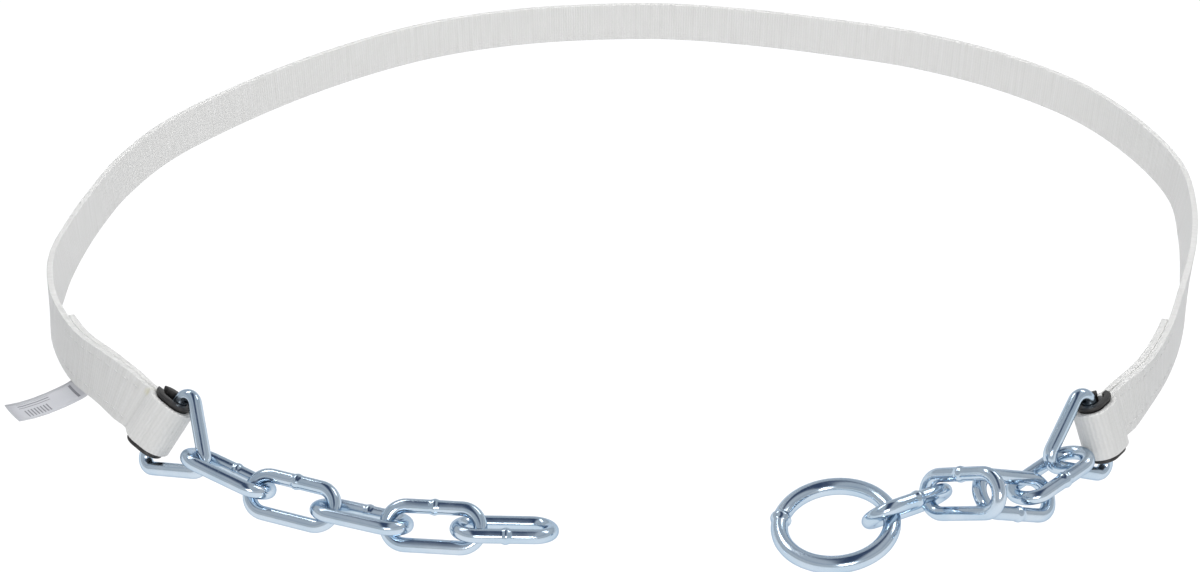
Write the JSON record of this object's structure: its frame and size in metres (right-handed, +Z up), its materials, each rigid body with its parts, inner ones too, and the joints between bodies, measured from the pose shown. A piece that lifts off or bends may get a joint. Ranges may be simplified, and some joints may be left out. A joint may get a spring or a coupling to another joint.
{
  "type": "cattle tie chain",
  "caption": "Neck tie for cattle: a webbing strap with sewn ends, lined loops, triangle rings and short chains that end in a free link and a tie ring.",
  "frame": {"origin": "On the floor, under the middle of the bounding box of the whole piece at rest", "axes": "+X runs to the right across the neck strap, from the free link side to the tie ring side; +Y runs away from the chains towards the back of the strap; +Z is up"},
  "size_m": [0.5752, 0.4989, 0.0405],
  "materials": {
    "webbing": "white woven webbing",
    "liner": "black, satin",
    "thread": "white twisted thread",
    "tag": "smooth white tape",
    "zinc_steel": "bright blue-white zinc plate"
  },
  "bodies": {
    "strap": {"webbing_strap": "webbing", "left_liner": "liner", "right_liner": "liner", "left_seam_thread": "thread", "right_seam_thread": "thread", "sewn_tag": "tag"},
    "left_triangle": {"left_triangle_ring": "zinc_steel"},
    "right_triangle": {"right_triangle_ring": "zinc_steel"},
    "left_link_1": {"left_link_1": "zinc_steel"},
    "left_link_2": {"left_link_2": "zinc_steel"},
    "left_link_3": {"left_link_3": "zinc_steel"},
    "left_link_4": {"left_link_4": "zinc_steel"},
    "left_link_5": {"left_link_5": "zinc_steel"},
    "right_link_1": {"right_link_1": "zinc_steel"},
    "right_link_2": {"right_link_2": "zinc_steel"},
    "right_link_3": {"right_link_3": "zinc_steel"},
    "right_link_4": {"right_link_4": "zinc_steel"},
    "round_ring": {"round_ring": "zinc_steel"}
  },
  "joints": [
    {"name": "left_triangle_swing", "type": "hinge", "parent": "strap", "child": "left_triangle", "pos_m": [-0.20922, -0.17107, 0.01942], "axis": [0.5574, 0.2498, 0.7918], "range_deg": [-60, 60]},
    {"name": "left_link_1_swing", "type": "hinge", "parent": "left_triangle", "child": "left_link_1", "pos_m": [-0.19045, -0.19061, 0.01237], "axis": [0.3551, 0.4027, 0.8436], "range_deg": [-60, 60]},
    {"name": "left_link_2_swing", "type": "hinge", "parent": "left_link_1", "child": "left_link_2", "pos_m": [-0.16117, -0.20253, 0.00862], "axis": [-0.2376, -0.6528, 0.7193], "range_deg": [-60, 60]},
    {"name": "left_link_3_swing", "type": "hinge", "parent": "left_link_2", "child": "left_link_3", "pos_m": [-0.13179, -0.21445, 0.00856], "axis": [0.1377, 0.4162, 0.8988], "range_deg": [-60, 60]},
    {"name": "left_link_4_swing", "type": "hinge", "parent": "left_link_3", "child": "left_link_4", "pos_m": [-0.10132, -0.22422, 0.00851], "axis": [-0.0876, -0.7141, 0.6945], "range_deg": [-60, 60]},
    {"name": "left_link_5_swing", "type": "hinge", "parent": "left_link_4", "child": "left_link_5", "pos_m": [-0.07034, -0.22706, 0.00945], "axis": [-0.0594, -0.3649, -0.9291], "range_deg": [-60, 60]},
    {"name": "right_triangle_swing", "type": "hinge", "parent": "strap", "child": "right_triangle", "pos_m": [0.19163, -0.17603, 0.02105], "axis": [-0.3307, 0.2418, 0.9122], "range_deg": [-60, 60]},
    {"name": "right_link_1_swing", "type": "hinge", "parent": "right_triangle", "child": "right_link_1", "pos_m": [0.18417, -0.18393, 0.01437], "axis": [0.5451, -0.7801, 0.3071], "range_deg": [-60, 60]},
    {"name": "right_link_2_swing", "type": "hinge", "parent": "right_link_1", "child": "right_link_2", "pos_m": [0.15321, -0.20726, 0.01007], "axis": [0.5273, -0.424, 0.7363], "range_deg": [-40, 10]},
    {"name": "right_link_3_swing", "type": "hinge", "parent": "right_link_2", "child": "right_link_3", "pos_m": [0.13401, -0.21797, 0.02121], "axis": [0.7894, 0.4976, -0.3595], "range_deg": [-60, 60]},
    {"name": "right_link_4_swing", "type": "hinge", "parent": "right_link_3", "child": "right_link_4", "pos_m": [0.11507, -0.20598, 0.01005], "axis": [-0.0491, 0.6349, 0.771], "range_deg": [-60, 60]},
    {"name": "round_ring_swing", "type": "hinge", "parent": "right_link_4", "child": "round_ring", "pos_m": [0.09767, -0.21814, 0.0123], "axis": [0.2079, -0.9781, 0], "range_deg": [-20, 60]}
  ]
}
